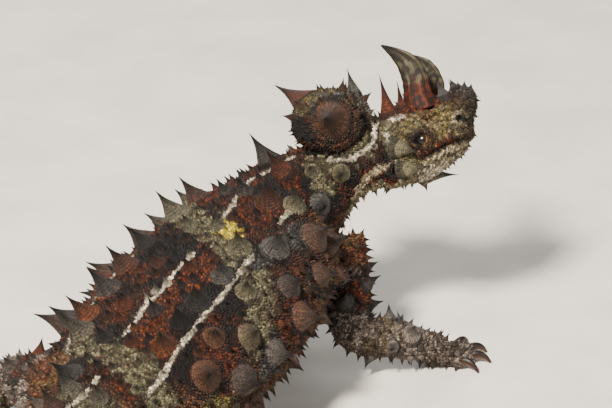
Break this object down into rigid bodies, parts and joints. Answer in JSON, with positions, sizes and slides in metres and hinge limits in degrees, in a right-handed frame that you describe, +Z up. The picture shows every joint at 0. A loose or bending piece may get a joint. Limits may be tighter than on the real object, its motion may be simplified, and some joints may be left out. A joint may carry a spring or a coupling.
{
  "type": "thorny devil lizard model",
  "caption": "Still, life-size model of a thorny devil lizard on four feet, forequarters raised and head turned to its right, with rows of conical thorns, two brow horns and a nape knob.",
  "frame": {"origin": "middle of the animal's footprint box, on the floor under its feet", "axes": "+X forward along the trunk, from the tail to the chest; +Y to the animal's left; +Z up"},
  "size_m": [0.1533, 0.0866, 0.0549],
  "materials": {
    "skin": "dry, matt, granular reptile skin in rust brown and near black",
    "pale_skin": "dry, matt, granular reptile skin in khaki and cream",
    "horn": "satin horn, dark brown with pale ridges",
    "eye": "wet, glossy, dark brown"
  },
  "bodies": {
    "root": {"tail_tip": "skin", "tail_middle": "skin", "tail_base": "skin", "torso": "skin", "neck": "pale_skin", "nape_knob": "pale_skin", "head": "pale_skin", "lower_jaw": "pale_skin", "horn_left": "horn", "horn_right": "horn", "eye_left": "eye", "eye_right": "eye", "upper_arm_left": "skin", "forearm_left": "skin", "hand_left": "skin", "upper_arm_right": "skin", "forearm_right": "skin", "hand_right": "skin", "thigh_left": "skin", "shin_left": "skin", "foot_left": "skin", "thigh_right": "skin", "shin_right": "skin", "foot_right": "skin"}
  },
  "joints": []
}
